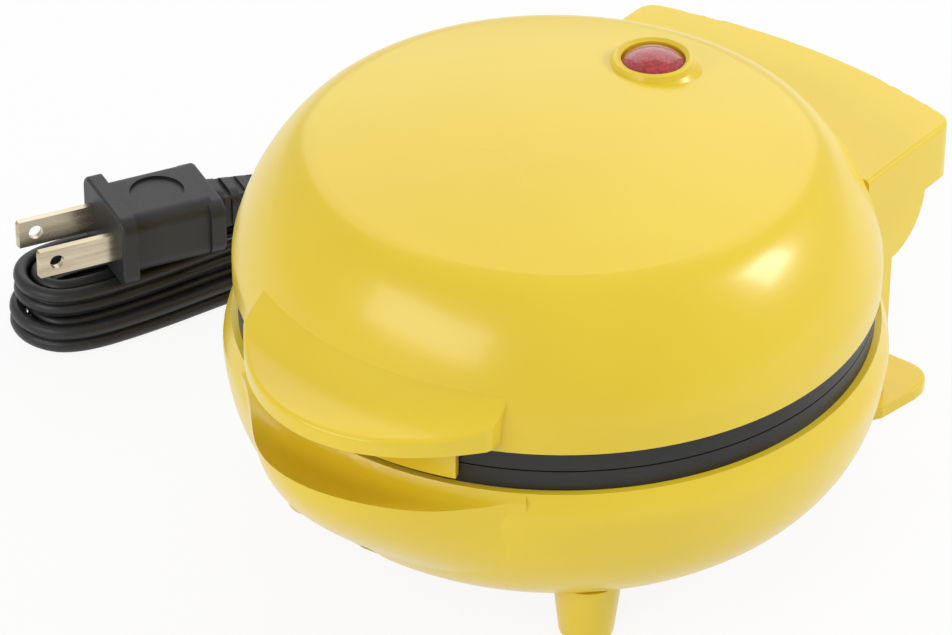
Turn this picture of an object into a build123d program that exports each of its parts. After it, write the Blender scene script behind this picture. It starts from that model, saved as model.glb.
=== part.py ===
from build123d import *
import math
import os

os.makedirs("parts", exist_ok=True)

# Frame: Z up from the table, the front tab towards -Y, the hinge towards +Y, symmetric about X = 0.
# Sizes in this file are measured from the vertical axis of the round body.

# Overall sizes
lid_top_z = 88.1
lid_cap_edge_r = 48.0
lid_cap_sag = 4.75
lid_rim_r = 65.0
lid_rim_z = 53.7
base_rim_over = 0.4
base_rim_r = lid_rim_r + base_rim_over
base_rim_z = 44.7
base_belly_out = 1.7
base_belly_r = base_rim_r + base_belly_out
base_floor_z = 7.0
shell_wall = 2.4
tab_out = 13.9
front_reach = base_belly_r + tab_out
part_gap = 0.3

# Cooking plates
plate_inset = 1.0
plate_r = lid_rim_r - plate_inset
plate_split_z = 49.15
plate_gap = 0.3
plate_step_depth = 2.4
pan_r = 51.0
pan_floor_r = 49.0
pan_depth = 5.0
pan_wall = 4.0
pan_skirt = 2.8
pan_back_r = pan_r + pan_skirt

# Heating elements, heat shields and controls
element_r = 3.25
element_ring_r = 34.0
element_open_deg = 70.0
element_tail = 14.0
shield_thickness = 0.6
shield_fit = 1.2
shield_r = pan_back_r + shield_fit
shield_flange_fit = 1.6
shield_flange_r = lid_rim_r - shell_wall - shield_flange_fit
shield_depth = 11.0
thermostat_r = 8.0
thermostat_height = 6.5
fuse_r = 2.2
fuse_length = 14.0

# Screw posts and screws
post_inset = 5.7
post_pitch_r = plate_r - post_inset
post_r = 4.0
post_count = 3
screw_shank_r = 1.6
screw_head_r = 3.0
screw_head_h = 2.4
screw_grip = 6.0
screw_bite = 4.0

# Hinge
hinge_out = 2.0
hinge_y = lid_rim_r + hinge_out
hinge_z = 48.0
barrel_r = 12.0
chord_gap = 2.4
plate_chord_y = hinge_y - barrel_r - chord_gap
barrel_half = 36.5
knuckle_half = 11.6
knuckle_gap = 0.4
pin_r = 2.0
pin_recess = 0.9
pin_half = barrel_half - pin_recess
running_fit = 0.05
hinge_clearance = 0.4

# Hood over the hinge
hood_wall = 2.2
hood_half = barrel_half + hinge_clearance + hood_wall
hood_top_z = 62.9
hood_bottom_z = 50.2
hood_back = 22.7
hood_rear_y = hinge_y + hood_back
hood_bow = 5.9
hood_corner_y = hood_rear_y - hood_bow
hood_corner_r = 4.5
hood_edge_r = 1.0

# Column and rear stand
column_depth = 23.6
column_rear_out = 0.6
column_rear_y = hinge_y + column_rear_out
column_front_y = column_rear_y - column_depth
stand_side = 5.1
stand_half = barrel_half + stand_side
stand_flare = 1.6
stand_back = 12.4
stand_rear_y = column_rear_y + stand_back
stand_length = 24.0
stand_front_y = stand_rear_y - stand_length
stand_corner_r = 6.0
stand_thickness = 2.8

# Front feet
foot_inset = 17.6
foot_pitch_r = base_belly_r - foot_inset
foot_angle = 44.5
foot_top_r = 7.0
foot_tip_r = 5.4

# Tabs
tab_half_deg = 32.0
lid_tab_half_deg = 35.0
tab_bite = 0.4
lid_tab_side = 30.2
lid_tab_corner_r = 3.0
lid_tab_bottom_z = 55.9
base_tab_top_z = 46.2
tongue_half_deg = 20.0
tongue_bottom_z = 46.7
tongue_thickness = 1.8

# Pilot lamp
lamp_y = 31.4
lens_r = 6.4
lens_dome = 2.2
lamp_ring_r = 8.1
lamp_ring_base_r = 9.8
lamp_ring_height = 1.9

# Cord
cord_width = 6.4
cord_thickness = 3.2
cord_exit_z = 15.0
boot_length = 26.0
boot_root_r = 5.4
boot_tip_r = 4.3

# Plug
blade_spacing = 12.7
blade_width = 6.35
blade_thickness = 1.5
blade_length = 17.5
blade_hole_r = 1.6

# Stand screws, lamp and wiring
stand_screw_in = 5.4
stand_screw_x = barrel_half - stand_screw_in
stand_screw_setback = 6.0
stand_screw_y = column_front_y + stand_screw_setback
stand_boss_r = 3.4
stand_head_h = 1.5
neon_r = 2.8
neon_length = 8.0
lens_flange_r = 8.8
wire_r = 1.3
terminal_width = 24.0
terminal_depth = 9.0
terminal_height = 15.0
terminal_setback = 10.0
terminal_y = column_front_y + terminal_setback

# Hank of cord: runs side by side, drawn in at the waist, in two layers
hank_x = -119.0
hank_y = -15.5
hank_deg = 66.4
hank_run = 104.0
hank_step = 3.75
hank_inner = 5.1
hank_waist = 3.3
layer_gap = 0.45
floor_gap = 0.05

# Plug lying on the hank
plug_x = -113.6
plug_y = -9.6
plug_deg = -27.3
plug_width = 23.5
plug_height = 16.5
plug_flange = 3.6
plug_length = 24.5
relief_length = 20.0

# The row's origin stands midway between the front tab and the hood's rear.
axis_y = (front_reach - hood_rear_y) / 2


def write(name, shape):
    moved = Pos(0, axis_y, 0) * shape
    export_step(moved, "parts/" + name + ".step")
    print(name, "volume", round(moved.volume, 1))


def rz_face(points):
    """Closed face in the XZ plane from (radius, height) points joined by lines."""
    return make_face(Polyline([(r, 0, z) for r, z in points], close=True))


def ring(points):
    """Turned solid from (radius, height) points."""
    return revolve(rz_face(points), Axis.Z, 360)


def rod_x(radius, x0, x1, y, z):
    """Round bar along X."""
    return Pos((x0 + x1) / 2, y, z) * Rot(0, 90, 0) * Cylinder(radius, x1 - x0)


def block(x0, x1, y0, y1, z0, z1):
    return Pos((x0 + x1) / 2, (y0 + y1) / 2, (z0 + z1) / 2) * Box(x1 - x0, y1 - y0, z1 - z0)


def post_places():
    return [(post_pitch_r * math.sin(math.radians(a)), -post_pitch_r * math.cos(math.radians(a)))
            for a in [i * 360 / post_count for i in range(post_count)]]


def around_posts(shape):
    """The same shape standing at each screw post."""
    return [Pos(x, y, 0) * shape for x, y in post_places()]


# Lid shell: shallow cap, rounded shoulder and nearly upright skirt
def lid_profile(inset):
    """Edges of the turned outline, from the top centre down to the rim."""
    cap_r = (lid_cap_edge_r ** 2 + lid_cap_sag ** 2) / (2 * lid_cap_sag) - inset
    slope = math.asin(lid_cap_edge_r / (cap_r + inset))
    top = (0, 0, lid_top_z - inset)
    centre_z = lid_top_z - inset - cap_r
    half = (cap_r * math.sin(slope / 2), 0, centre_z + cap_r * math.cos(slope / 2))
    end = (cap_r * math.sin(slope), 0, centre_z + cap_r * math.cos(slope))
    cap = ThreePointArc(top, half, end)
    drop = lid_top_z - lid_cap_sag - lid_rim_z
    bulge = lid_rim_r - lid_cap_edge_r
    # share of the way out and share of the way down, with the outward normal
    shape = [(0.435, 0.157, 45), (0.63, 0.303, 56), (0.785, 0.455, 65), (0.905, 0.613, 72), (0.985, 0.765, 81)]
    points = [end]
    for out, down, lean in shape:
        r = lid_cap_edge_r + bulge * out - inset * math.sin(math.radians(lean))
        z = lid_top_z - lid_cap_sag - drop * down - inset * math.cos(math.radians(lean))
        points.append((r, 0, z))
    points.append((lid_rim_r - inset, 0, lid_rim_z))
    shoulder = Spline(points, tangents=[(math.cos(slope), 0, -math.sin(slope)), (0, 0, -1)])
    return cap, shoulder


def lid_body(inset, bottom_z):
    cap, shoulder = lid_profile(inset)
    r = lid_rim_r - inset
    edge = Polyline([(r, 0, lid_rim_z), (0, 0, lid_rim_z), (0, 0, lid_top_z - inset)])
    face = make_face(Wire([*cap.edges(), *shoulder.edges(), *edge.edges()]))
    body = revolve(face, Axis.Z, 360)
    if bottom_z < lid_rim_z:
        body = body + Pos(0, 0, (bottom_z + lid_rim_z) / 2) * Cylinder(r, lid_rim_z - bottom_z)
    return body


def bell_outline(base_r, reach, z, half_deg, taper):
    """Plan outline of a tab: a nose that flows out of the round wall, closed behind."""
    steps = 14
    pts = []
    for i in range(steps + 1):
        deg = -half_deg + 2 * half_deg * i / steps
        r = base_r + (reach - base_r) * max(0, math.cos(math.pi * deg / (2 * half_deg))) ** taper
        a = math.radians(deg)
        pts.append((r * math.sin(a), -r * math.cos(a), z))
    ends = [math.radians(-half_deg), math.radians(half_deg)]
    t0 = (math.cos(ends[0]), math.sin(ends[0]), 0)
    t1 = (math.cos(ends[1]), math.sin(ends[1]), 0)
    front = Spline(pts, tangents=[t0, t1])
    back_y = -(base_r - 9)
    back = Polyline([pts[-1], (pts[-1][0] - 6, back_y + 8, z), (pts[0][0] + 6, back_y + 8, z), pts[0]])
    return Wire([*front.edges(), *back.edges()])


def lid_tab():
    outline = bell_outline(lid_rim_r - tab_bite, front_reach - 1.6, lid_tab_bottom_z, lid_tab_half_deg, 1.4)
    blank = extrude(make_face(outline), 15.0, dir=(0, 0, 1))
    blank = blank & block(-lid_tab_side, lid_tab_side, -front_reach - 5, 0, lid_tab_bottom_z - 1, lid_rim_z + 40)
    corners = [e for e in blank.edges() if abs(abs(e.center().X) - lid_tab_side) < 0.01
               and abs((e % 0.5).Z) > 0.99 and e.center().Y < -(lid_rim_r - 8)]
    blank = fillet(corners, lid_tab_corner_r)
    rim_z = lid_tab_bottom_z + 3.6
    scoop = Spline([(lid_rim_r - 4.6, 0, rim_z + 8.6), (lid_rim_r - 1.7, 0, rim_z + 5.9),
                    (lid_rim_r + 1.4, 0, rim_z + 3.2), (lid_rim_r + 5.0, 0, rim_z + 1.0),
                    (lid_rim_r + 9.5, 0, rim_z + 0.1), (front_reach + 3, 0, rim_z + 0.3)])
    lid = Polyline([(front_reach + 3, 0, rim_z + 0.3), (front_reach + 3, 0, rim_z + 20),
                    (lid_rim_r - 4.6, 0, rim_z + 20), (lid_rim_r - 4.6, 0, rim_z + 8.6)])
    cutter = revolve(make_face(Wire([*scoop.edges(), *lid.edges()])), Axis.Z, 360)
    blank = blank - cutter
    rim = [e for e in blank.edges() if e.bounding_box().min.Z > lid_tab_bottom_z + 1
           and e.bounding_box().min.Y < -(lid_rim_r - 5) and e.center().Z < rim_z + 8]
    return fillet(rim, 1.1)


def hood_block(inset, z0, z1, front_y):
    w = hood_half - inset
    yc = hood_corner_y - inset
    yr = hood_rear_y - inset
    sides = Polyline([(w, yc, z0), (w, front_y, z0), (-w, front_y, z0), (-w, yc, z0)])
    rear = ThreePointArc((-w, yc, z0), (0, yr, z0), (w, yc, z0))
    body = extrude(make_face(Wire([*sides.edges(), *rear.edges()])), z1 - z0, dir=(0, 0, 1))
    corners = [e for e in body.edges().filter_by(Axis.Z) if e.center().Y > front_y + 1]
    return fillet(corners, max(hood_corner_r - inset, 0.8))


def lid_shell():
    outer = lid_body(0, lid_rim_z)
    hood = hood_block(0, hood_bottom_z, hood_top_z, plate_chord_y + 0.4)
    crest = [e for e in hood.edges() if e.center().Z > hood_top_z - 0.01 and e.center().Y > plate_chord_y + 1]
    hood = fillet(crest, hood_edge_r)
    tongue_in = plate_r + hinge_clearance
    tongue_ring = ring([(tongue_in, tongue_bottom_z), (tongue_in + tongue_thickness, tongue_bottom_z),
                        (tongue_in + tongue_thickness, lid_tab_bottom_z + 1), (tongue_in, lid_tab_bottom_z + 1)])
    far = 2 * lid_rim_r
    side = far * math.tan(math.radians(tongue_half_deg))
    wedge = extrude(make_face(Polyline([(0, 0, 0), (side, -far, 0), (-side, -far, 0)], close=True)),
                    far, dir=(0, 0, 1))
    solid = outer + hood + lid_tab() + (tongue_ring & wedge)
    # inside of the dome, of the hood and round the hinge barrel
    wide = 2 * lid_rim_r
    inside = lid_body(shell_wall, lid_rim_z - 8) & block(-wide, wide, -wide, plate_chord_y + 0.6, lid_rim_z, wide)
    solid = solid - inside
    cavity = hood_block(hood_wall, hood_bottom_z - 1, hood_top_z - hood_wall, plate_chord_y + 2.8)
    solid = solid - cavity
    half = barrel_half + hinge_clearance
    solid = solid - rod_x(barrel_r + hinge_clearance, -half, half, hinge_y, hinge_z)
    solid = solid - block(-half, half, hinge_y - barrel_r - hinge_clearance, hinge_y, hinge_z, lid_rim_z + 1)
    # screw posts that hold the upper plate
    posts = [Pos(x, y, (plate_step_z() + 100) / 2) * Cylinder(post_r, 100 - plate_step_z())
             for x, y in post_places()]
    for post in posts:
        solid = solid + (post & lid_body(0.5, lid_rim_z))
    for x, y in post_places():
        solid = solid - Pos(x, y, plate_step_z() + screw_grip / 2) * Cylinder(screw_shank_r, screw_grip)
    # middle knuckle that hangs from the hood's roof
    knuckle = rod_x(barrel_r - hinge_clearance, -knuckle_half, knuckle_half, hinge_y, hinge_z)
    web = block(-knuckle_half, knuckle_half, hinge_y - 8, hinge_y + 8, hinge_z, hood_top_z - hood_wall / 2)
    solid = solid + knuckle + web
    solid = solid - rod_x(pin_r + running_fit, -knuckle_half - 1, knuckle_half + 1, hinge_y, hinge_z)
    # raised ring round the pilot lamp
    z = lamp_seat_z()
    collar = revolve(rz_face([(lens_r + 0.15, z - 4), (lamp_ring_base_r, z - 4), (lamp_ring_base_r, z - 0.4),
                              (lamp_ring_r + 0.5, z + 0.8), (lamp_ring_r, z + lamp_ring_height),
                              (lamp_ring_r - 0.8, z + lamp_ring_height + 0.3),
                              (lens_r + 0.15, z + lamp_ring_height - 0.3)]), Axis.Z, 360)
    solid = solid + Pos(0, lamp_y, 0) * collar
    solid = solid - Pos(0, lamp_y, z) * Cylinder(lens_r + 0.15, 20)
    return solid


def plate_step_z():
    """Top of the upper plate's step, where the lid's posts sit."""
    return lid_rim_z + plate_step_depth


def lamp_seat_z():
    cap_r = (lid_cap_edge_r ** 2 + lid_cap_sag ** 2) / (2 * lid_cap_sag)
    return lid_top_z - cap_r + math.sqrt(cap_r ** 2 - lamp_y ** 2)


# Base shell: bowl, front tab, hinge column with barrel, front feet
def bowl_profile(inset):
    """Edges of the bowl's outline, from the rim down to the underside."""
    depth = base_rim_z - base_floor_z
    points = [(base_rim_r - inset, 0, base_rim_z)]
    # share of the depth below the rim, radius in share of the belly, outward normal below level
    shape = [(0.135, 1.0, 4), (0.27, 0.9955, 8), (0.40, 0.982, 16), (0.52, 0.96, 24), (0.631, 0.927, 34),
             (0.729, 0.884, 45), (0.814, 0.829, 57), (0.886, 0.759, 69), (0.942, 0.669, 78), (0.979, 0.55, 84)]
    for down, out, lean in shape:
        r = base_belly_r * out - inset * math.cos(math.radians(lean))
        z = base_rim_z - depth * down + inset * math.sin(math.radians(lean))
        points.append((r, 0, z))
    points.append((base_belly_r * 0.35, 0, base_floor_z + inset))
    return Spline(points, tangents=[(0.35, 0, -1), (-1, 0, 0)])


def bowl(inset, top_z):
    curve = bowl_profile(inset)
    r = base_rim_r - inset
    close = Polyline([(base_belly_r * 0.35, 0, base_floor_z + inset), (0, 0, base_floor_z + inset),
                      (0, 0, base_rim_z), (r, 0, base_rim_z)])
    body = revolve(make_face(Wire([*curve.edges(), *close.edges()])), Axis.Z, 360)
    if top_z > base_rim_z:
        body = body + Pos(0, 0, (top_z + base_rim_z) / 2) * Cylinder(r, top_z - base_rim_z)
    return body


def base_tab():
    depth = base_rim_z - base_floor_z
    layers = []
    # share of the way down, bowl radius share, how much of the reach is left
    for down, out, left in [(-0.06, 1.0, 1.0), (0.16, 1.0, 0.86), (0.36, 0.99, 0.52), (0.55, 0.952, 0.18),
                            (0.70, 0.895, 0.0)]:
        r = base_belly_r * out - tab_bite
        z = base_rim_z - depth * down
        layers.append(bell_outline(r, r + (front_reach - base_belly_r + tab_bite) * left + 0.05 * (1 - left), z,
                                   tab_half_deg, 2))
    blank = loft([make_face(w) for w in layers])
    dish = Spline([(base_rim_r, 0, base_rim_z), (base_rim_r + 2.4, 0, base_rim_z - 2.0),
                   (base_rim_r + 6.2, 0, base_rim_z - 2.2), (base_rim_r + 11.0, 0, base_rim_z - 0.7),
                   (front_reach + 3, 0, base_tab_top_z + 0.6)])
    top = Polyline([(front_reach + 3, 0, base_tab_top_z + 0.6), (front_reach + 3, 0, base_rim_z + 12),
                    (base_rim_r, 0, base_rim_z + 12), (base_rim_r, 0, base_rim_z)])
    cutter = revolve(make_face(Wire([*dish.edges(), *top.edges()])), Axis.Z, 360)
    return blank - cutter - Pos(0, 0, base_rim_z + 10) * Cylinder(base_rim_r, 20)


def base_shell():
    outer = bowl(0, base_rim_z)
    solid = outer + base_tab()
    column = block(-barrel_half, barrel_half, column_front_y, column_rear_y, stand_thickness, base_rim_z)
    solid = solid + column
    solid = solid + rod_x(barrel_r, -barrel_half, barrel_half, hinge_y, hinge_z)
    for side in (-1, 1):
        a = math.radians(foot_angle)
        x = side * foot_pitch_r * math.sin(a)
        y = -foot_pitch_r * math.cos(a)
        foot = Pos(x, y, base_floor_z) * Cone(foot_tip_r, foot_top_r, 2 * base_floor_z)
        tip = [e for e in foot.edges() if e.center().Z < 0.1]
        solid = solid + fillet(tip, 1.4)
    solid = solid - bowl(shell_wall, base_rim_z + 6)
    # wiring room inside the column, open below and into the bowl
    room = block(-barrel_half + shell_wall, barrel_half - shell_wall, column_front_y + shell_wall,
                 column_rear_y - shell_wall, stand_thickness - 1, hinge_z - barrel_r - shell_wall)
    solid = solid - room
    # slot for the lid's knuckle and bores for the pin
    half = knuckle_half + knuckle_gap
    solid = solid - rod_x(barrel_r + 0.3, -half, half, hinge_y, hinge_z)
    solid = solid - rod_x(pin_r, -pin_half, pin_half, hinge_y, hinge_z)
    # screw posts from the bowl to the lower plate, bored from below for the screws
    step_z = base_rim_z - plate_step_depth
    for x, y in post_places():
        post = Pos(x, y, step_z / 2) * Cylinder(post_r, step_z)
        solid = solid + (post & bowl(0.4, base_rim_z))
    for x, y in post_places():
        solid = solid - Pos(x, y, (step_z - screw_grip) / 2) * Cylinder(screw_head_r + 0.1, step_z - screw_grip)
        solid = solid - Pos(x, y, step_z / 2) * Cylinder(screw_shank_r + 0.1, step_z + 2)
    # hole for the cord's boot
    solid = solid - Pos(0, column_rear_y, cord_exit_z) * Rot(90, 0, 0) * Cylinder(boot_root_r - 1.2, 14)
    # bosses for the screws of the rear stand
    for side in (-1, 1):
        x = side * stand_screw_x
        z = stand_thickness
        solid = solid + Pos(x, stand_screw_y, z + 6.5) * Cylinder(stand_boss_r, 13)
        solid = solid - Pos(x, stand_screw_y, z + 4) * Cylinder(screw_shank_r, 10)
    # small locating slot low in the front wall
    front = -base_belly_r - 1.4
    solid = solid - block(-3.5, 3.5, front, front + 6, 22.5, 25.0)
    return solid


def rear_cut():
    """Room behind the plates' straight rear edge."""
    far = 2 * lid_rim_r
    return block(-far, far, plate_chord_y, far, 0, far)


# Plates: flange with a step that drops into the shell, round pan and a cut-back rear edge
def lower_plate():
    top = plate_split_z - plate_gap / 2
    step_z = base_rim_z - plate_step_depth
    step_r = base_rim_r - shell_wall - part_gap
    back_z = top - pan_depth - pan_wall
    solid = ring([(0, top - pan_depth), (pan_floor_r, top - pan_depth), (pan_r, top), (plate_r, top),
                  (plate_r, base_rim_z), (step_r, base_rim_z), (step_r, step_z), (pan_back_r, step_z),
                  (pan_back_r, back_z), (0, back_z)])
    solid = solid - rear_cut()
    for x, y in post_places():
        solid = solid - Pos(x, y, step_z + screw_bite / 2) * Cylinder(screw_shank_r, screw_bite)
    return solid - element(back_z, element_r + 0.1, -1)


def upper_plate():
    low = plate_split_z + plate_gap / 2
    step_z = plate_step_z()
    step_r = lid_rim_r - shell_wall - part_gap
    back_z = low + pan_depth + pan_wall
    solid = ring([(0, low + pan_depth), (pan_floor_r, low + pan_depth), (pan_r, low), (plate_r, low),
                  (plate_r, lid_rim_z), (step_r, lid_rim_z), (step_r, step_z), (pan_back_r, step_z),
                  (pan_back_r, back_z), (0, back_z)])
    solid = solid - rear_cut()
    for x, y in post_places():
        solid = solid - Pos(x, y, (low + step_z) / 2) * Cylinder(screw_shank_r + 0.1, step_z - low + 2)
        solid = solid - Pos(x, y, low + (screw_head_h + 0.1) / 2) * Cylinder(screw_head_r + 0.1, screw_head_h + 0.1)
    return solid - element(back_z, element_r + 0.1, 1)


def element(z, radius, side):
    """Tubular heater: a horseshoe open to the rear, its tails turned away from the plate."""
    a = math.radians(element_open_deg / 2)
    ex = element_ring_r * math.sin(a)
    ey = element_ring_r * math.cos(a)
    arc = ThreePointArc((ex, ey, z), (0, -element_ring_r, z), (-ex, ey, z))
    tube = sweep(Plane(origin=arc @ 0, z_dir=arc % 0) * Circle(radius), path=arc)
    for sign in (-1, 1):
        end = Pos(sign * ex, ey, z) * Sphere(radius)
        leg = Pos(sign * ex, ey, z + side * element_tail / 2) * Cylinder(radius * 0.6, element_tail)
        tube = tube + end + leg
    return tube


def heat_shield(seat_z, side):
    """Pressed tray behind a plate, its flange on the plate's step, with holes for the posts and tails."""
    t = shield_thickness * side
    d = shield_depth * side
    solid = ring([(shield_flange_r, seat_z), (shield_flange_r, seat_z + t), (shield_r, seat_z + t),
                  (shield_r, seat_z + d), (0, seat_z + d), (0, seat_z + d - t),
                  (shield_r - shield_thickness, seat_z + d - t), (shield_r - shield_thickness, seat_z)])
    solid = solid - rear_cut()
    for x, y in post_places():
        solid = solid - Pos(x, y, seat_z) * Cylinder(post_r + 0.3, 30)
    a = math.radians(element_open_deg / 2)
    for sign in (-1, 1):
        x = sign * element_ring_r * math.sin(a)
        solid = solid - Pos(x, element_ring_r * math.cos(a), seat_z) * Cylinder(element_r, 60)
    return solid


def screw(seat_z, length, side):
    """Pan head with its driver slot away from the shank, shank towards side."""
    head = Pos(0, 0, seat_z - side * screw_head_h / 2) * Cylinder(screw_head_r, screw_head_h)
    shank = Pos(0, 0, seat_z + side * length / 2) * Cylinder(screw_shank_r, length)
    cross = Box(3.6, 0.8, 1.6) + Box(0.8, 3.6, 1.6)
    return head + shank - Pos(0, 0, seat_z - side * screw_head_h) * cross


step_low_z = base_rim_z - plate_step_depth
lower_back_z = plate_split_z - plate_gap / 2 - pan_depth - pan_wall
upper_back_z = plate_split_z + plate_gap / 2 + pan_depth + pan_wall

write("base_shell", base_shell())
write("lid_shell", lid_shell())
write("lower_plate", lower_plate())
write("upper_plate", upper_plate())
write("lower_heater", element(lower_back_z, element_r, -1))
write("upper_heater", element(upper_back_z, element_r, 1))
write("lower_heat_shield", heat_shield(step_low_z, -1))
write("upper_heat_shield", heat_shield(plate_step_z(), 1))

base_screw = screw(step_low_z - screw_grip, screw_grip + screw_bite - 0.3, 1)
write("base_plate_screws", Compound(around_posts(base_screw)))
upper_head_z = plate_split_z + plate_gap / 2 + screw_head_h
lid_screw = screw(upper_head_z, plate_step_z() - upper_head_z + screw_grip - 0.3, 1)
write("lid_plate_screws", Compound(around_posts(lid_screw)))

# Hinge pin: steel rod through all the knuckles
write("hinge_pin", rod_x(pin_r, -pin_half, pin_half, hinge_y, hinge_z))


# Thermostat and thermal fuse under the lower plate
def thermostat():
    z = lower_back_z
    body = Pos(0, 0, z - thermostat_height / 2) * Cylinder(thermostat_r, thermostat_height)
    cap = Pos(0, 0, z - thermostat_height * 0.2) * Cylinder(thermostat_r + 0.8, thermostat_height * 0.4)
    ears = Pos(0, 0, z - 0.5) * Box(3 * thermostat_r, 7, 1.0)
    holes = [Pos(side * 1.22 * thermostat_r, 0, z) * Cylinder(1.6, 4) for side in (-1, 1)]
    tabs = [Pos(side * thermostat_r * 0.5, 0, z - thermostat_height) * Box(0.8, 4.8, 2.0) for side in (-1, 1)]
    return body + cap + ears - holes[0] - holes[1] + tabs[0] + tabs[1]


def fuse():
    z = lower_back_z - fuse_r
    barrel = rod_x(fuse_r, -fuse_length / 2, fuse_length / 2, 19.0, z)
    leads = rod_x(0.6, -fuse_length / 2 - 5, fuse_length / 2 + 5, 19.0, z)
    return barrel + leads


write("thermostat", thermostat())
write("thermal_fuse", fuse())


# Ceramic terminal block on the stand, with wires to the heater's tails and to the cord
def terminal_block():
    z0 = stand_thickness
    y0 = terminal_y - terminal_depth / 2
    body = block(-terminal_width / 2, terminal_width / 2, y0, y0 + terminal_depth, z0, z0 + terminal_height)
    for side in (-1, 1):
        body = body - Pos(side * 6, terminal_y, z0 + terminal_height) * Cylinder(2.4, 3)
    return body


def wire(points, bend):
    path = FilletPolyline(points, radius=bend)
    return sweep(Plane(origin=path @ 0, z_dir=path % 0) * Circle(wire_r), path=path)


def base_wires():
    a = math.radians(element_open_deg / 2)
    ex = element_ring_r * math.sin(a)
    ey = element_ring_r * math.cos(a)
    top = stand_thickness + terminal_height
    tail_z = lower_back_z - element_tail
    made = []
    for side in (-1, 1):
        made.append(wire([(side * 6, terminal_y, top - 1.5), (side * 6, terminal_y, top + 4),
                          (side * ex, ey, top + 4), (side * ex, ey, tail_z)], 2.2))
        core = Pos(side * 1.7, (terminal_y + terminal_depth / 2 + column_rear_y - shell_wall - 2.4) / 2, cord_exit_z)
        span = column_rear_y - shell_wall - 2.4 - terminal_y - terminal_depth / 2
        made.append(core * Rot(90, 0, 0) * Cylinder(wire_r, span))
    return Compound(made)


def lid_wires():
    a = math.radians(element_open_deg / 2)
    ex = element_ring_r * math.sin(a)
    ey = element_ring_r * math.cos(a)
    tail_z = upper_back_z + element_tail
    neon_z = lamp_seat_z() - 1.0 - neon_length
    made = []
    for side in (-1, 1):
        made.append(wire([(side * ex, ey, tail_z), (side * ex, ey, tail_z + 2.6),
                          (side * 1.5, lamp_y, tail_z + 2.6), (side * 1.5, lamp_y, neon_z)], 1.0))
    return Compound(made)


write("terminal_block", terminal_block())
write("base_wires", base_wires())
write("lid_wires", lid_wires())


# Pilot lamp: red lens held from inside the lid, neon bulb under it
def lamp_lens():
    z = lamp_seat_z()
    rim_z = z + lamp_ring_height - 0.9
    dome_r = (lens_r ** 2 + lens_dome ** 2) / (2 * lens_dome)
    dome = Pos(0, lamp_y, rim_z + lens_dome - dome_r) * Sphere(dome_r)
    stem = Pos(0, lamp_y, (z - 4 + rim_z) / 2) * Cylinder(lens_r, rim_z - z + 4)
    cap = dome & (Pos(0, lamp_y, rim_z + lens_dome / 2) * Cylinder(lens_r, lens_dome))
    flange = Pos(0, lamp_y, z - 4.6) * Cylinder(lens_flange_r, 1.2)
    room = Pos(0, lamp_y, z - 3.1) * Cylinder(neon_r + 0.2, 5.2)
    return stem + cap + flange - room


def neon_lamp():
    z = lamp_seat_z() - 1.0
    tube = Pos(0, lamp_y, z - neon_length / 2) * Cylinder(neon_r, neon_length)
    return fillet(tube.edges().sort_by(Axis.Z)[-1], 1.2)


write("lamp_lens", lamp_lens())
write("neon_lamp", neon_lamp())


# Rear stand: flat plate that closes the column and keeps the wrapped cord on
def rear_stand():
    y0 = column_front_y
    outline = Polyline([(-barrel_half, y0, 0), (barrel_half, y0, 0), (barrel_half, stand_front_y, 0),
                        (stand_half - stand_flare, stand_front_y + 6, 0), (stand_half, stand_rear_y - 8, 0),
                        (stand_half, stand_rear_y, 0), (-stand_half, stand_rear_y, 0),
                        (-stand_half, stand_rear_y - 8, 0), (-stand_half + stand_flare, stand_front_y + 6, 0),
                        (-barrel_half, stand_front_y, 0)], close=True)
    plate = extrude(make_face(outline), stand_thickness, dir=(0, 0, 1))
    corners = [e for e in plate.edges().filter_by(Axis.Z) if e.center().Y > stand_rear_y - 0.1]
    plate = fillet(corners, stand_corner_r)
    top = [e for e in plate.edges() if e.center().Z > stand_thickness - 0.01 and e.center().Y > column_rear_y]
    plate = fillet(top, 0.8)
    for side in (-1, 1):
        x = side * stand_screw_x
        plate = plate - Pos(x, stand_screw_y, 0) * Cylinder(screw_shank_r + 0.2, 20)
        plate = plate - Pos(x, stand_screw_y, (stand_head_h + 0.2) / 2) * Cylinder(
            screw_head_r + 0.2, stand_head_h + 0.2)
    return plate


def stand_screw():
    head = Pos(0, 0, 0.2 + stand_head_h / 2) * Cylinder(screw_head_r, stand_head_h)
    shank = Pos(0, 0, 0.2 + stand_head_h + 3.5) * Cylinder(screw_shank_r, 7)
    return head + shank - Pos(0, 0, 0.2) * (Box(3.6, 0.8, 1.4) + Box(0.8, 3.6, 1.4))


write("rear_stand", rear_stand())
write("stand_screws", Compound([Pos(side * stand_screw_x, stand_screw_y, 0) * stand_screw() for side in (-1, 1)]))


# Rubber boot where the cord leaves the column
def cord_boot():
    wall_in = column_rear_y - shell_wall
    tip = column_rear_y + boot_length
    points = [(0, wall_in - 2.4), (boot_root_r + 1.6, wall_in - 2.4), (boot_root_r + 1.6, wall_in),
              (boot_root_r - 1.2, wall_in), (boot_root_r - 1.2, column_rear_y), (boot_root_r, column_rear_y)]
    rings = 5
    pitch = boot_length / (rings + 1)
    for i in range(rings):
        y = column_rear_y + pitch * (i + 0.55)
        r = boot_root_r + (boot_tip_r - boot_root_r) * (i + 0.55) / (rings + 1)
        points += [(r, y), (r - 0.9, y + 0.1), (r - 0.9, y + pitch * 0.4), (r, y + pitch * 0.4 + 0.1)]
    points += [(boot_tip_r, tip), (0, tip)]
    turned = ring(points)
    return Pos(0, 0, cord_exit_z) * Rot(-90, 0, 0) * turned


write("cord_boot", cord_boot())


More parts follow.
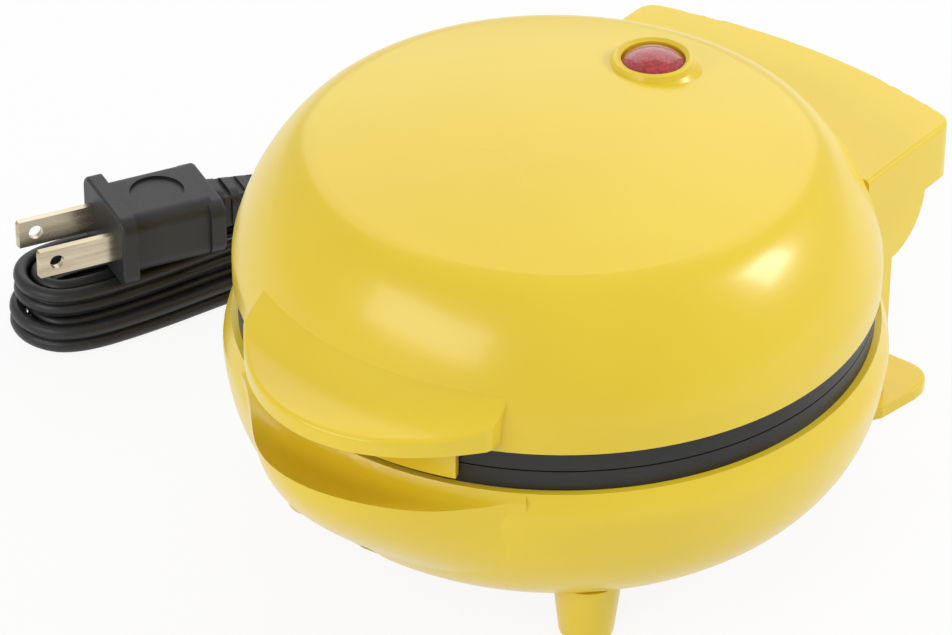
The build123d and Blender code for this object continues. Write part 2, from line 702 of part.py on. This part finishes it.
# Cord: flat, two cores side by side, standing on edge
def cord_section(origin, along):
    """Two cores one above the other with a groove between them."""
    core = cord_thickness / 2
    half = (cord_width - cord_thickness) / 2
    sheet = Plane(origin=origin, x_dir=Vector(0, 0, 1), z_dir=along)
    flat = Pos(half, 0) * Circle(core) + Pos(-half, 0) * Circle(core) + Rectangle(2 * half, cord_thickness * 0.55)
    return sheet * flat


hank_u = (math.cos(math.radians(hank_deg)), math.sin(math.radians(hank_deg)))
hank_n = (hank_u[1], -hank_u[0])
layer_z = [floor_gap + cord_width / 2, floor_gap + cord_width * 1.5 + layer_gap]


def at_hank(s, t, z):
    """Point of the hank: s along it, t across it towards the appliance."""
    return Vector(hank_x + s * hank_u[0] + t * hank_n[0], hank_y + s * hank_u[1] + t * hank_n[1], z)


def s_bend(start, end, along):
    """Two equal arcs that shift a run sideways and leave it parallel to itself."""
    middle = (start + end) * 0.5
    first = TangentArc(start, middle, tangent=along)
    second = TangentArc(middle, end, tangent=first % 1)
    return [first, second]


def half_turn(s, t0, t1, z, out):
    """Half turn at an end of the hank in two quarter turns."""
    r = abs(t0 - t1) / 2
    mid = (t0 + t1) / 2
    a = at_hank(s, t0, z)
    b = at_hank(s + out * r, mid, z)
    c = at_hank(s, t1, z)
    k = math.sqrt(0.5)
    side = 1 if t0 > t1 else -1
    first = ThreePointArc(a, at_hank(s + out * r * k, mid + side * r * k, z), b)
    second = ThreePointArc(b, at_hank(s + out * r * k, mid - side * r * k, z), c)
    return [first, second]


def hank_edges():
    """The cord's line through the hank: two loops in, a climb, two loops out."""
    ahead = Vector(hank_u[0], hank_u[1], 0)
    half_step = hank_step / 2
    # offset of each run: near, far, near, ... stepping in and then out again
    offsets = [hank_inner + half_step * abs(i - 4) for i in range(9)]
    edges = [Line(at_hank(hank_run + cord_width, offsets[0], layer_z[0]), at_hank(hank_run, offsets[0], layer_z[0]))]
    for i in range(8):
        side = 1 if i % 2 == 0 else -1
        climb = i == 4
        z0 = layer_z[0] if i <= 4 else layer_z[1]
        z1 = layer_z[0] if i < 4 else layer_z[1]
        s0, s1 = (hank_run, 0) if side == 1 else (0, hank_run)
        along = ahead * (-side)
        t = side * offsets[i]
        waist = side * (offsets[i] - hank_waist)
        edges += s_bend(at_hank(s0, t, z0), at_hank(hank_run / 2, waist, z0), along)
        edges += s_bend(at_hank(hank_run / 2, waist, z0), at_hank(s1, t, z1), along)
        edges += half_turn(s1, t, -side * offsets[i + 1], z1, -side)
    t = offsets[8]
    edges.append(Line(at_hank(hank_run, t, layer_z[1]), at_hank(hank_run - cord_width, t, layer_z[1])))
    return edges


def least_gap(edges):
    """Least clear distance between stretches of the cord that are a turn apart."""
    marks = []
    run = 0.0
    for edge in edges:
        n = max(2, int(edge.length / 1.5))
        for i in range(n):
            p = edge @ (i / n)
            marks.append((run + edge.length * i / n, p.X, p.Y, p.Z))
        run += edge.length
    best = 1e9
    core_span = cord_width - cord_thickness
    for i, a in enumerate(marks):
        for b in marks[i + 1:]:
            if b[0] - a[0] > 14:
                flat = math.hypot(a[1] - b[1], a[2] - b[2])
                rise = max(0.0, abs(a[3] - b[3]) - core_span)
                best = min(best, math.hypot(flat, rise) - cord_thickness)
    return best, run


def free_cord(points):
    """Straight runs joined by arcs as large as the runs allow."""
    pts = [Vector(*p) for p in points]
    radii = []
    for a, b, c in zip(pts, pts[1:], pts[2:]):
        turn = math.radians((b - a).get_angle(c - b))
        radii.append(0.45 * min((b - a).length, (c - b).length) / math.tan(turn / 2))
    path = FilletPolyline(pts, radius=radii)
    tube = sweep(cord_section(path @ 0, path % 0), path=path)
    area = cord_section(path @ 0, path % 0).area
    print("cord radii", [round(r, 1) for r in radii], "volume", round(tube.volume, 1),
          "section x length", round(area * path.length, 1), "length", round(path.length, 1))
    return tube


boot_tip = (0, column_rear_y + boot_length, cord_exit_z)
hank_start = at_hank(hank_run + cord_width, hank_inner + 2 * hank_step, layer_z[0])
hank_end = at_hank(hank_run - cord_width, hank_inner + 2 * hank_step, layer_z[1])
before_hank = at_hank(hank_run + cord_width + 20, hank_inner + 2 * hank_step, layer_z[0])
lead_points = [boot_tip, (0, boot_tip[1] + 18.4, cord_exit_z), (-16, boot_tip[1] + 36.4, 8.5),
               (-42, boot_tip[1] + 32.9, 3.7), tuple(before_hank), tuple(hank_start)]
write("cord_lead", free_cord(lead_points))

hank_line = hank_edges()
gap, hank_length = least_gap(hank_line)
print("hank length", round(hank_length, 1), "least gap", round(gap, 2))
hank_path = Wire([e for part in hank_line for e in part.edges()])
write("cord_hank", sweep(cord_section(hank_path @ 0, hank_path % 0), path=hank_path))

# Plug
plug_z = floor_gap + 2 * cord_width + layer_gap + part_gap + plug_height / 2
plug_turn = Pos(plug_x, plug_y, plug_z) * Rot(0, 0, plug_deg)


def blades():
    made = []
    for side in (-1, 1):
        blade = Pos(side * blade_spacing / 2, (6 - blade_length) / 2, 0) * Box(
            blade_thickness, blade_length + 6, blade_width)
        tip = [e for e in blade.edges() if e.center().Y < -blade_length + 0.01]
        blade = chamfer(tip, 0.45)
        hole = Pos(side * blade_spacing / 2, -blade_length + 4.2, 0) * Rot(0, 90, 0) * Cylinder(blade_hole_r, 4)
        made.append(blade - hole)
    return made


def slab(width, depth, height, y, corner):
    body = Pos(0, y, 0) * Box(width, depth, height)
    return fillet(body.edges().filter_by(Axis.Y), corner)


def plug_body():
    back = plug_length - plug_flange
    front = slab(plug_width, plug_flange, plug_height, plug_flange / 2, 3.2)
    grip = slab(plug_width - 4.4, back, plug_height - 2.4, back / 2 + 1, 3.4)
    rear = slab(plug_width - 2.6, plug_flange, plug_height - 3.4, plug_length - plug_flange / 2, 3.4)
    body = front + grip + rear
    edge = [e for e in body.edges() if abs(e.center().Y) < 0.01 or abs(e.center().Y - plug_length) < 0.01]
    body = fillet(edge, 0.8)
    recess = Pos(0, (plug_flange + back) / 2 + 0.3, plug_height / 2 - 1.2) * Cylinder(5.9, 1.2)
    body = body - recess
    for blade in blades():
        body = body - blade
    return body


def plug_relief():
    root = Plane(origin=(0, plug_length, 0), z_dir=(0, 1, 0)) * RectangleRounded(10.5, 9.5, 3.0)
    tip = Plane(origin=(0, plug_length + relief_length, 0), z_dir=(0, 1, 0)) * RectangleRounded(5.2, 7.6, 2.2)
    body = loft([root, tip])
    grooves = 5
    for i in range(grooves):
        y = plug_length + relief_length * (i + 0.8) / (grooves + 0.6)
        share = (y - plug_length) / relief_length
        w = 10.5 - 5.3 * share
        h = 9.5 - 1.9 * share
        collar = Pos(0, y, 0) * (Box(w + 4, 1.5, h + 4) - Box(w - 1.6, 1.6, h - 1.6))
        body = body - collar
    return body


write("plug_blades", plug_turn * Compound(blades()))
write("plug_body", plug_turn * plug_body())
write("plug_relief", plug_turn * plug_relief())

turn = math.radians(90 + plug_deg)
reach = plug_length + relief_length
relief_tip = Vector(plug_x + reach * math.cos(turn), plug_y + reach * math.sin(turn), plug_z)
relief_out = relief_tip + Vector(math.cos(turn), math.sin(turn), 0) * 12
leave_hank = at_hank(hank_run - cord_width - 11.6, hank_inner + 2 * hank_step, layer_z[1])
write("cord_tail", free_cord([tuple(hank_end), tuple(leave_hank), tuple(relief_out), tuple(relief_tip)]))
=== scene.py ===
import bpy
import bmesh
import math
from mathutils import Matrix, Vector


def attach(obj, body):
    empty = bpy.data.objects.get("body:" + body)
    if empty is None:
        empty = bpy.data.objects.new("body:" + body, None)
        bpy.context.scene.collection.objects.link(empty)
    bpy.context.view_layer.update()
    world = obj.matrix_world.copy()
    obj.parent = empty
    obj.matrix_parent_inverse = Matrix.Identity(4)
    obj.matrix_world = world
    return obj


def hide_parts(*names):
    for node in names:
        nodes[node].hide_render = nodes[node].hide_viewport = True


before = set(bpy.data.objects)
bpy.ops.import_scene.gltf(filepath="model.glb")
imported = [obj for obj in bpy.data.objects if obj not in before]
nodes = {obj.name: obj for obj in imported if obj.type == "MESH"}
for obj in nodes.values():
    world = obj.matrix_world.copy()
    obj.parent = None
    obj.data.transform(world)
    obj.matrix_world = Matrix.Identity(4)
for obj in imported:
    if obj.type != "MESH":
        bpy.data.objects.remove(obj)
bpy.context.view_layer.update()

# Camera: a long lens from the front right, a little above the appliance, with
# the photograph's framing. Everything is placed from the axis of the round body.
axis_y = -0.00435
turn = math.radians(37.42)
rise = math.radians(33.81)
roll = math.radians(0.41)
back = Vector((math.sin(turn) * math.cos(rise), -math.cos(turn) * math.cos(rise), math.sin(rise)))
right = Vector((math.cos(turn), math.sin(turn), 0.0))
over = back.cross(right)
across = right * math.cos(roll) + over * math.sin(roll)
above = over * math.cos(roll) - right * math.sin(roll)
eye = Vector((0, axis_y, 0.042)) - across * 0.01614 - above * 0.00036 + back * 1.00026
lens = bpy.data.cameras.new("photo_camera")
lens.sensor_fit = "HORIZONTAL"
lens.sensor_width = 36.0
lens.lens = 4962.04 / 952 * 36.0
lens.clip_end = 20.0
camera = bpy.data.objects.new("photo_camera", lens)
camera.matrix_world = Matrix((
    (across.x, above.x, back.x, eye.x),
    (across.y, above.y, back.y, eye.y),
    (across.z, above.z, back.z, eye.z),
    (0, 0, 0, 1)))
bpy.context.scene.collection.objects.link(camera)
bpy.context.scene.camera = camera
bpy.context.scene.view_settings.view_transform = "Standard"


# Mains cord: flat two-core lead in black PVC, extruded in one piece with a groove
# down the middle. It stands on edge, leaves the boot, runs round to a folded hank
# of two nested loops in two layers and ends in the plug's strain relief.
def group_sockets(name, inputs, outputs):
    """An empty shader node group with named value inputs and outputs."""
    group = bpy.data.node_groups.new(name, "ShaderNodeTree")
    for label, value in inputs:
        socket = group.interface.new_socket(label, in_out="INPUT", socket_type="NodeSocketFloat")
        socket.default_value = value
    for label, kind in outputs:
        group.interface.new_socket(label, in_out="OUTPUT", socket_type=kind)
    return group, group.nodes.new("NodeGroupInput"), group.nodes.new("NodeGroupOutput")


def make_mould_grain():
    """Fine orange-peel skin of a moulded or dipped surface: a height and a slow patchiness."""
    group, taken, given = group_sockets(
        "mould_grain", [("Grain per metre", 1500.0), ("Patches per metre", 25.0)],
        [("Height", "NodeSocketFloat"), ("Patches", "NodeSocketFloat")])
    where = group.nodes.new("ShaderNodeTexCoord")
    fine = group.nodes.new("ShaderNodeTexNoise")
    fine.inputs["Detail"].default_value = 3.0
    slow = group.nodes.new("ShaderNodeTexNoise")
    slow.inputs["Detail"].default_value = 2.0
    for noise, label in ((fine, "Grain per metre"), (slow, "Patches per metre")):
        group.links.new(where.outputs["Object"], noise.inputs["Vector"])
        group.links.new(taken.outputs[label], noise.inputs["Scale"])
    group.links.new(fine.outputs["Fac"], given.inputs["Height"])
    group.links.new(slow.outputs["Fac"], given.inputs["Patches"])
    return group


def make_speckle():
    """Small scattered flecks, as dust on rubber or metal flake in a coating."""
    group, taken, given = group_sockets(
        "speckle", [("Flecks per metre", 900.0), ("Amount", 0.12)], [("Mask", "NodeSocketFloat")])
    where = group.nodes.new("ShaderNodeTexCoord")
    cells = group.nodes.new("ShaderNodeTexVoronoi")
    group.links.new(where.outputs["Object"], cells.inputs["Vector"])
    group.links.new(taken.outputs["Flecks per metre"], cells.inputs["Scale"])
    under = group.nodes.new("ShaderNodeMath")
    under.operation = "LESS_THAN"
    group.links.new(cells.outputs["Distance"], under.inputs[0])
    group.links.new(taken.outputs["Amount"], under.inputs[1])
    group.links.new(under.outputs[0], given.inputs["Mask"])
    return group


mould_grain = make_mould_grain()
speckle = make_speckle()


def surface(name, roughness, metallic=0.0, coat=0.0):
    """A material with its Principled shader and constant values set on its own sockets."""
    made = bpy.data.materials.new(name)
    made.use_nodes = True
    shader = made.node_tree.nodes["Principled BSDF"]
    shader.inputs["Roughness"].default_value = roughness
    shader.inputs["Metallic"].default_value = metallic
    shader.inputs["Coat Weight"].default_value = coat
    return made, made.node_tree, shader


def place_group(tree, group, **values):
    node = tree.nodes.new("ShaderNodeGroup")
    node.node_tree = group
    for label, value in values.items():
        node.inputs[label.replace("_", " ")].default_value = value
    return node


def two_tones(tree, mask, low, high, start=0.35, end=0.65):
    """Colour that moves between two tones where the mask does."""
    ramp = tree.nodes.new("ShaderNodeValToRGB")
    ramp.color_ramp.elements[0].position = start
    ramp.color_ramp.elements[0].color = (*low, 1)
    ramp.color_ramp.elements[1].position = end
    ramp.color_ramp.elements[1].color = (*high, 1)
    tree.links.new(mask, ramp.inputs["Fac"])
    return ramp.outputs["Color"]


def value_range(tree, mask, low, high):
    spread = tree.nodes.new("ShaderNodeMapRange")
    spread.inputs["To Min"].default_value = low
    spread.inputs["To Max"].default_value = high
    tree.links.new(mask, spread.inputs["Value"])
    return spread.outputs["Result"]


def bump_from(tree, shader, height, depth, strength=1.0):
    bump = tree.nodes.new("ShaderNodeBump")
    bump.inputs["Distance"].default_value = depth
    bump.inputs["Strength"].default_value = strength
    tree.links.new(height, bump.inputs["Height"])
    tree.links.new(bump.outputs["Normal"], shader.inputs["Normal"])


def make_pvc(name, low, high, rough_low, rough_high):
    made, tree, shader = surface(name, 0.5)
    grain = place_group(tree, mould_grain, Grain_per_metre=2600.0, Patches_per_metre=60.0)
    dust = place_group(tree, speckle, Flecks_per_metre=700.0, Amount=0.08)
    tone = two_tones(tree, grain.outputs["Patches"], low, high)
    dusty = tree.nodes.new("ShaderNodeMix")
    dusty.data_type = "RGBA"
    dusty.inputs["B"].default_value = (high[0] * 2.2, high[1] * 2.2, high[2] * 2.2, 1)
    tree.links.new(dust.outputs["Mask"], dusty.inputs["Factor"])
    tree.links.new(tone, dusty.inputs["A"])
    tree.links.new(dusty.outputs["Result"], shader.inputs["Base Color"])
    sheen = value_range(tree, grain.outputs["Patches"], rough_low, rough_high)
    tree.links.new(sheen, shader.inputs["Roughness"])
    bump_from(tree, shader, grain.outputs["Height"], 0.00006)
    return made


black_pvc = make_pvc("black_pvc", (0.010, 0.010, 0.011), (0.019, 0.019, 0.021), 0.34, 0.46)

cord_width = 0.0064
cord_thickness = 0.0032
floor_gap = 0.00005
layer_gap = 0.00045
hank_run = 0.104
hank_step = 0.00375
hank_inner = 0.0051
hank_waist = 0.0033
hank_deg = math.radians(66.4)
along = Vector((math.cos(hank_deg), math.sin(hank_deg), 0))
aside = Vector((along.y, -along.x, 0))
hank_corner = Vector((-0.119, -0.0155 + axis_y, 0))
layer_low = floor_gap + cord_width / 2
layer_high = floor_gap + cord_width * 1.5 + layer_gap
boot_tip = Vector((0, 0.0936 + axis_y, 0.015))


def at_hank(s, t, z):
    return hank_corner + along * s + aside * t + Vector((0, 0, z))


def hank_points():
    """Control points of the loops: two in, a climb, two out, drawn in at the waist."""
    offsets = [hank_inner + hank_step / 2 * abs(i - 4) for i in range(9)]
    points = []
    for i in range(8):
        side = 1 if i % 2 == 0 else -1
        start_z = layer_low if i <= 4 else layer_high
        end_z = layer_low if i < 4 else layer_high
        t = side * offsets[i]
        waist = side * (offsets[i] - hank_waist)
        marks = [0.875, 0.625, 0.375, 0.125] if side == 1 else [0.125, 0.375, 0.625, 0.875]
        for mark, shift, z in zip(marks, (t, waist, waist, t), (start_z, start_z, start_z, end_z)):
            points.append(at_hank(mark * hank_run, shift, z))
        radius = (offsets[i] + offsets[i + 1]) / 2
        middle = side * (offsets[i] - offsets[i + 1]) / 2
        end_s = 0 if side == 1 else hank_run
        for corner in (22.5, 67.5, 112.5, 157.5):
            a = math.radians(corner)
            reach = radius / math.cos(math.radians(22.5))
            s = end_s - side * reach * math.sin(a)
            points.append(at_hank(s, middle + side * reach * math.cos(a), end_z))
    return points, offsets[8]


hank_line, last_offset = hank_points()
plug_lie = math.radians(-27.3)
plug_turn = math.radians(90) + plug_lie
plug_half_height = 0.00825
plug_and_relief = 0.0445
plug_out = Vector((math.cos(plug_turn), math.sin(plug_turn), 0))
hank_top = floor_gap + 2 * cord_width + layer_gap
plug_front = Vector((-0.1136, -0.0096 + axis_y, hank_top + 0.0003 + plug_half_height))
relief_tip = plug_front + plug_out * plug_and_relief
route = [boot_tip, boot_tip + Vector((0, 0.0184, 0)),
         Vector((-0.016, boot_tip.y + 0.0364, 0.0085)), Vector((-0.042, boot_tip.y + 0.0329, 0.0037)),
         at_hank(hank_run + cord_width + 0.020, hank_inner + 2 * hank_step, layer_low)]
route += hank_line
route += [at_hank(hank_run - cord_width - 0.0116, last_offset, layer_high),
          relief_tip + plug_out * 0.012, relief_tip]


def smooth_line(points, steps):
    """Points along the open quadratic NURBS spline that has these control points."""
    curve = bpy.data.curves.new("route", "CURVE")
    curve.dimensions = "3D"
    spline = curve.splines.new("NURBS")
    spline.points.add(len(points) - 1)
    for point, place in zip(spline.points, points):
        point.co = (*place, 1)
    spline.order_u = 3
    spline.use_endpoint_u = True
    spline.resolution_u = steps
    holder = bpy.data.objects.new("route", curve)
    bpy.context.scene.collection.objects.link(holder)
    bpy.context.view_layer.update()
    line = bpy.data.meshes.new_from_object(holder)
    places = [v.co.copy() for v in line.vertices]
    bpy.data.objects.remove(holder)
    bpy.data.curves.remove(curve)
    bpy.data.meshes.remove(line)
    return places


def flat_cord(name, line):
    """Figure-of-eight section standing on edge, carried along the line."""
    core = cord_thickness / 2
    lift = (cord_width - cord_thickness) / 2
    ring = []
    for k in range(13):
        a = math.radians(-90 + 25 * k)
        ring.append((core * math.cos(a), lift + core * math.sin(a)))
    section = ring + [(-x, -y) for x, y in ring]
    mesh = bmesh.new()
    loops = []
    for i, place in enumerate(line):
        ahead = (line[min(i + 1, len(line) - 1)] - line[max(i - 1, 0)]).normalized()
        side = ahead.cross(Vector((0, 0, 1))).normalized()
        up = side.cross(ahead)
        loops.append([mesh.verts.new(place + side * x + up * y) for x, y in section])
    count = len(section)
    for a, b in zip(loops, loops[1:]):
        for k in range(count):
            mesh.faces.new((a[k], a[(k + 1) % count], b[(k + 1) % count], b[k]))
    mesh.faces.new(loops[0])
    mesh.faces.new(list(reversed(loops[-1])))
    bmesh.ops.recalc_face_normals(mesh, faces=mesh.faces)
    data = bpy.data.meshes.new(name)
    mesh.to_mesh(data)
    mesh.free()
    for face in data.polygons:
        face.use_smooth = len(face.vertices) == 4
    piece = bpy.data.objects.new(name, data)
    bpy.context.scene.collection.objects.link(piece)
    return piece


cord_line = smooth_line(route, 8)
mains_cord = flat_cord("mains_cord", cord_line)
mains_cord.data.materials.append(black_pvc)
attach(mains_cord, "base")
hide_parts("cord_lead", "cord_hank", "cord_tail")


def dress(name, material):
    """Gives a carried-over piece its finish in every material slot."""
    piece = nodes[name]
    piece.data.materials.clear()
    piece.data.materials.append(material)
    for face in piece.data.polygons:
        face.material_index = 0
    return piece


# Boot and plug: the boot is soft PVC pushed through the column's wall, and the
# plug body with its ribbed strain relief is moulded over the blades.
boot_pvc = make_pvc("boot_pvc", (0.011, 0.011, 0.012), (0.021, 0.021, 0.023), 0.40, 0.52)
plug_pvc = make_pvc("plug_pvc", (0.012, 0.012, 0.013), (0.024, 0.024, 0.026), 0.38, 0.55)
dress("cord_boot", boot_pvc)
dress("plug_body", plug_pvc)
dress("plug_relief", plug_pvc)


# Blades: two flat brass blades, nickel plated and drawn lengthwise in the die,
# so the finish shows fine lines along them.
def make_drawn_metal(name, low, high, roughness, lines, stretch, lie=0.0):
    made, tree, shader = surface(name, roughness, metallic=1.0)
    where = tree.nodes.new("ShaderNodeTexCoord")
    scale = tree.nodes.new("ShaderNodeMapping")
    scale.vector_type = "TEXTURE"
    scale.inputs["Scale"].default_value = stretch
    scale.inputs["Rotation"].default_value = (0, 0, lie)
    streaks = tree.nodes.new("ShaderNodeTexNoise")
    streaks.inputs["Scale"].default_value = lines
    streaks.inputs["Detail"].default_value = 4.0
    tree.links.new(where.outputs["Object"], scale.inputs["Vector"])
    tree.links.new(scale.outputs["Vector"], streaks.inputs["Vector"])
    tree.links.new(two_tones(tree, streaks.outputs["Fac"], low, high), shader.inputs["Base Color"])
    tree.links.new(value_range(tree, streaks.outputs["Fac"], roughness * 0.7, roughness * 1.4),
                   shader.inputs["Roughness"])
    bump_from(tree, shader, streaks.outputs["Fac"], 0.00001)
    return made


nickel_brass = make_drawn_metal(
    "nickel_brass", (0.50, 0.42, 0.29), (0.68, 0.60, 0.45), 0.24, 700.0, (1, 14, 1), plug_lie)
dress("plug_blades", nickel_brass)


# Shells: base bowl, lid and rear stand, injection moulded in glossy yellow
# polypropylene with a faint flow pattern and a smooth, softly glossy skin.
def make_yellow_shell():
    made, tree, shader = surface("yellow_shell", 0.28, coat=0.22)
    shader.inputs["Coat Roughness"].default_value = 0.12
    shader.inputs["IOR"].default_value = 1.5
    grain = place_group(tree, mould_grain, Grain_per_metre=420.0, Patches_per_metre=14.0)
    dust = place_group(tree, speckle, Flecks_per_metre=260.0, Amount=0.035)
    tone = two_tones(tree, grain.outputs["Patches"], (0.800, 0.580, 0.020), (0.838, 0.622, 0.030))
    specks = tree.nodes.new("ShaderNodeMix")
    specks.data_type = "RGBA"
    specks.inputs["B"].default_value = (0.80, 0.61, 0.05, 1)
    tree.links.new(dust.outputs["Mask"], specks.inputs["Factor"])
    tree.links.new(tone, specks.inputs["A"])
    tree.links.new(specks.outputs["Result"], shader.inputs["Base Color"])
    tree.links.new(value_range(tree, grain.outputs["Patches"], 0.25, 0.33), shader.inputs["Roughness"])
    bump_from(tree, shader, grain.outputs["Height"], 0.000012)
    return made


yellow_shell = make_yellow_shell()
for shell in ("lid_shell", "base_shell", "rear_stand"):
    dress(shell, yellow_shell)


# Plates: die-cast aluminium, sprayed with a charcoal non-stick coating that
# shows tiny flakes and a slightly pebbled skin.
def make_coating(name, low, high, rough_low, rough_high):
    made, tree, shader = surface(name, 0.4, metallic=0.25)
    grain = place_group(tree, mould_grain, Grain_per_metre=1900.0, Patches_per_metre=40.0)
    flakes = place_group(tree, speckle, Flecks_per_metre=1600.0, Amount=0.14)
    tone = two_tones(tree, grain.outputs["Patches"], low, high)
    flaked = tree.nodes.new("ShaderNodeMix")
    flaked.data_type = "RGBA"
    flaked.inputs["B"].default_value = (high[0] * 2.0, high[1] * 2.0, high[2] * 2.0, 1)
    tree.links.new(flakes.outputs["Mask"], flaked.inputs["Factor"])
    tree.links.new(tone, flaked.inputs["A"])
    tree.links.new(flaked.outputs["Result"], shader.inputs["Base Color"])
    sheen = value_range(tree, grain.outputs["Patches"], rough_low, rough_high)
    tree.links.new(sheen, shader.inputs["Roughness"])
    bump_from(tree, shader, grain.outputs["Height"], 0.00004)
    return made


plate_coating = make_coating("plate_coating", (0.015, 0.0145, 0.014), (0.023, 0.0225, 0.022), 0.36, 0.48)
dress("lower_plate", plate_coating)
dress("upper_plate", plate_coating)


# Heaters and shields: steel-sheathed tubes pressed in the plates' backs, and
# trays of dull aluminised sheet that keep the heat off the shells.
sheath_steel = make_drawn_metal(
    "sheath_steel", (0.20, 0.19, 0.18), (0.33, 0.31, 0.29), 0.45, 500.0, (1, 1, 1))
shield_sheet = make_drawn_metal(
    "shield_sheet", (0.55, 0.55, 0.56), (0.66, 0.66, 0.67), 0.38, 160.0, (8, 1, 1))
for heater in ("lower_heater", "upper_heater"):
    dress(heater, sheath_steel)
for tray in ("lower_heat_shield", "upper_heat_shield"):
    dress(tray, shield_sheet)


# Fasteners and hinge pin: zinc-plated steel screws and a ground steel rod.
plated_steel = make_drawn_metal("plated_steel", (0.50, 0.50, 0.51), (0.66, 0.66, 0.66), 0.3, 700.0, (1, 1, 1))
for fastener in ("base_plate_screws", "lid_plate_screws", "stand_screws", "hinge_pin"):
    dress(fastener, plated_steel)


# Controls and wiring: thermostat and fuse in pressed metal, a glazed ceramic
# terminal block and silicone-jacketed wires.
control_metal = make_drawn_metal(
    "control_metal", (0.45, 0.44, 0.42), (0.58, 0.57, 0.55), 0.4, 600.0, (1, 1, 1))
ceramic = make_coating("ceramic", (0.70, 0.67, 0.60), (0.80, 0.77, 0.70), 0.25, 0.4)
ceramic.node_tree.nodes["Principled BSDF"].inputs["Metallic"].default_value = 0.0
wire_jacket = make_pvc("wire_jacket", (0.22, 0.025, 0.018), (0.32, 0.045, 0.03), 0.4, 0.55)
dress("thermostat", control_metal)
dress("thermal_fuse", control_metal)
dress("terminal_block", ceramic)
dress("base_wires", wire_jacket)
dress("lid_wires", wire_jacket)


# Pilot lamp: a moulded clear red lens with small prisms inside, pressed through
# the lid's ring, and a small neon bulb behind it.
def make_red_lens():
    made, tree, shader = surface("red_lens", 0.16, coat=1.0)
    shader.inputs["Coat Roughness"].default_value = 0.08
    shader.inputs["IOR"].default_value = 1.49
    shader.inputs["Transmission Weight"].default_value = 0.25
    where = tree.nodes.new("ShaderNodeTexCoord")
    prisms = tree.nodes.new("ShaderNodeTexVoronoi")
    prisms.inputs["Scale"].default_value = 1150.0
    tree.links.new(where.outputs["Object"], prisms.inputs["Vector"])
    red = two_tones(tree, prisms.outputs["Distance"], (0.66, 0.045, 0.055), (0.36, 0.010, 0.016), 0.1, 0.8)
    tree.links.new(red, shader.inputs["Base Color"])
    bump_from(tree, shader, prisms.outputs["Distance"], 0.00012, 0.5)
    return made


def make_lamp_glass():
    made, tree, shader = surface("lamp_glass", 0.05)
    shader.inputs["Transmission Weight"].default_value = 0.9
    grain = place_group(tree, mould_grain, Grain_per_metre=900.0, Patches_per_metre=300.0)
    tint = two_tones(tree, grain.outputs["Patches"], (0.9, 0.75, 0.6), (0.95, 0.85, 0.75))
    tree.links.new(tint, shader.inputs["Base Color"])
    return made


dress("lamp_lens", make_red_lens())
dress("neon_lamp", make_lamp_glass())


# Studio: a white sweep under the appliance, seen as plain white by the camera
# but still holding the soft contact shadow, with large soft lamps round it.
def make_sweep():
    made, tree, shader = surface("white_sweep", 0.9)
    shader.inputs["Base Color"].default_value = (0.84, 0.84, 0.84, 1)
    white = tree.nodes.new("ShaderNodeEmission")
    white.inputs["Color"].default_value = (1, 1, 1, 1)
    rays = tree.nodes.new("ShaderNodeLightPath")
    seen = tree.nodes.new("ShaderNodeMath")
    seen.operation = "MAXIMUM"
    seen_too = tree.nodes.new("ShaderNodeMath")
    seen_too.operation = "MAXIMUM"
    share = tree.nodes.new("ShaderNodeMath")
    share.operation = "MULTIPLY"
    share.inputs[1].default_value = 0.90
    blend = tree.nodes.new("ShaderNodeMixShader")
    tree.links.new(rays.outputs["Is Camera Ray"], seen.inputs[0])
    tree.links.new(rays.outputs["Is Glossy Ray"], seen.inputs[1])
    tree.links.new(seen.outputs[0], seen_too.inputs[0])
    tree.links.new(rays.outputs["Is Transmission Ray"], seen_too.inputs[1])
    tree.links.new(seen_too.outputs[0], share.inputs[0])
    tree.links.new(share.outputs[0], blend.inputs["Fac"])
    tree.links.new(shader.outputs["BSDF"], blend.inputs[1])
    tree.links.new(white.outputs["Emission"], blend.inputs[2])
    tree.links.new(blend.outputs["Shader"], tree.nodes["Material Output"].inputs["Surface"])
    return made


def sweep_mesh():
    data = bpy.data.meshes.new("floor_sweep")
    size = 3.0
    corners = [(-size, -size, 0), (size, -size, 0), (size, size, 0), (-size, size, 0)]
    data.from_pydata(corners, [], [(0, 1, 2, 3)])
    return data


floor = bpy.data.objects.new("floor_sweep", sweep_mesh())
floor.data.materials.append(make_sweep())
floor.location.z = -0.0002
bpy.context.scene.collection.objects.link(floor)


def soft_lamp(name, place, aim, size, watts):
    light = bpy.data.lights.new(name, "AREA")
    light.shape = "RECTANGLE"
    light.size = size[0]
    light.size_y = size[1]
    light.energy = watts
    lamp = bpy.data.objects.new(name, light)
    lamp.location = place
    lamp.rotation_euler = (Vector(aim) - Vector(place)).to_track_quat("-Z", "Y").to_euler()
    bpy.context.scene.collection.objects.link(lamp)
    return lamp


soft_lamp("rear_softbox", (-0.55, 0.75, 0.75), (0, 0, 0.06), (1.3, 1.1), 4.0)
soft_lamp("front_softbox", (-0.22, -1.00, 0.60), (0, 0, 0.05), (0.9, 0.4), 4.0)
soft_lamp("right_softbox", (0.74, 0.62, 0.64), (0, 0, 0.05), (0.34, 0.34), 4.6)
world = bpy.data.worlds.new("studio")
world.use_nodes = True
bpy.context.scene.world = world
sky = world.node_tree.nodes["Background"]
sky.inputs["Color"].default_value = (1, 1, 1, 1)
rays = world.node_tree.nodes.new("ShaderNodeLightPath")
level = world.node_tree.nodes.new("ShaderNodeMapRange")
level.inputs["To Min"].default_value = 0.62
level.inputs["To Max"].default_value = 1.0
world.node_tree.links.new(rays.outputs["Is Camera Ray"], level.inputs["Value"])
world.node_tree.links.new(level.outputs["Result"], sky.inputs["Strength"])
